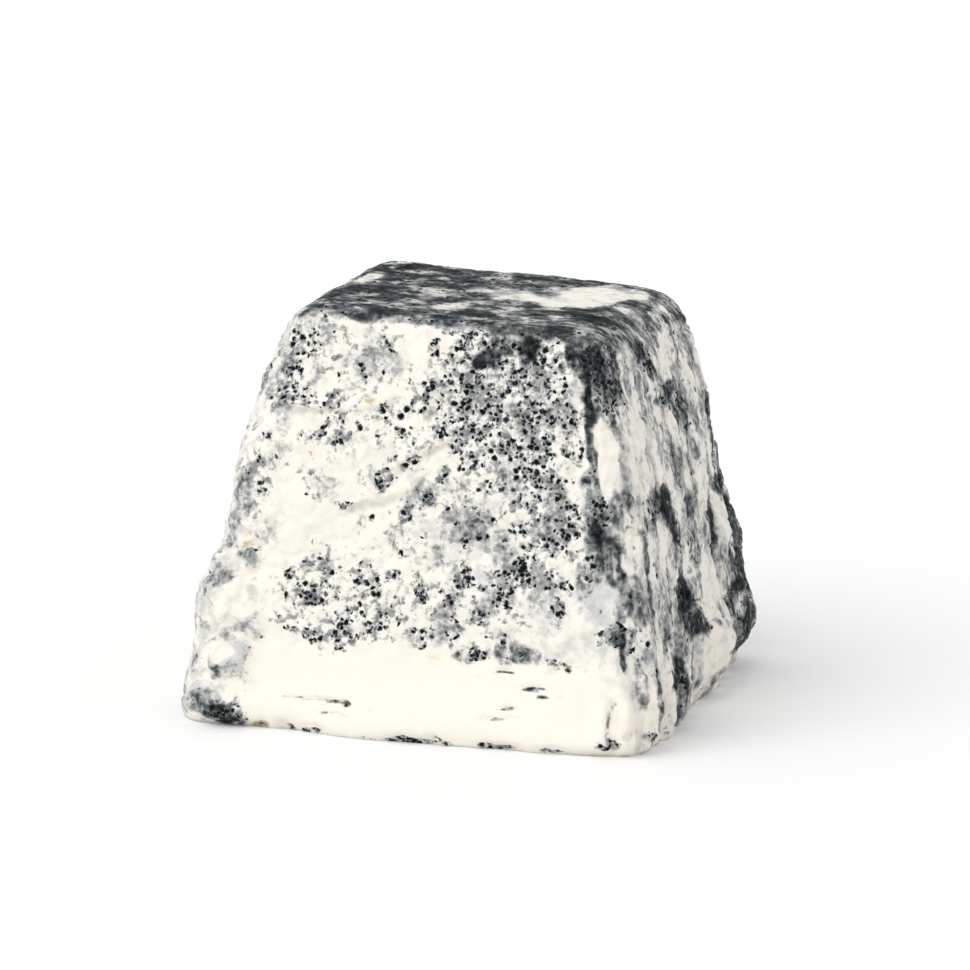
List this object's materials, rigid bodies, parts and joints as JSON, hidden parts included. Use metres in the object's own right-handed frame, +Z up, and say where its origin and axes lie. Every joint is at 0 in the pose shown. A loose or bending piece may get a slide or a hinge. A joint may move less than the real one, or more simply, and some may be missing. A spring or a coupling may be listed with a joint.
{
  "type": "ash-coated goat cheese pyramid",
  "caption": "Soft goat's cheese moulded as a low square pyramid with its point cut off, its cream rind speckled and smeared with black ash.",
  "frame": {"origin": "on the table under the middle of the cheese", "axes": "+Z up from the table to the small top face; the speckled side faces -Y and the streaked side +X"},
  "size_m": [0.0754, 0.077, 0.0616],
  "materials": {
    "ashed_rind": "moist matt cheese rind, cream under black ash"
  },
  "bodies": {
    "root": {"cheese": "ashed_rind"}
  },
  "joints": []
}
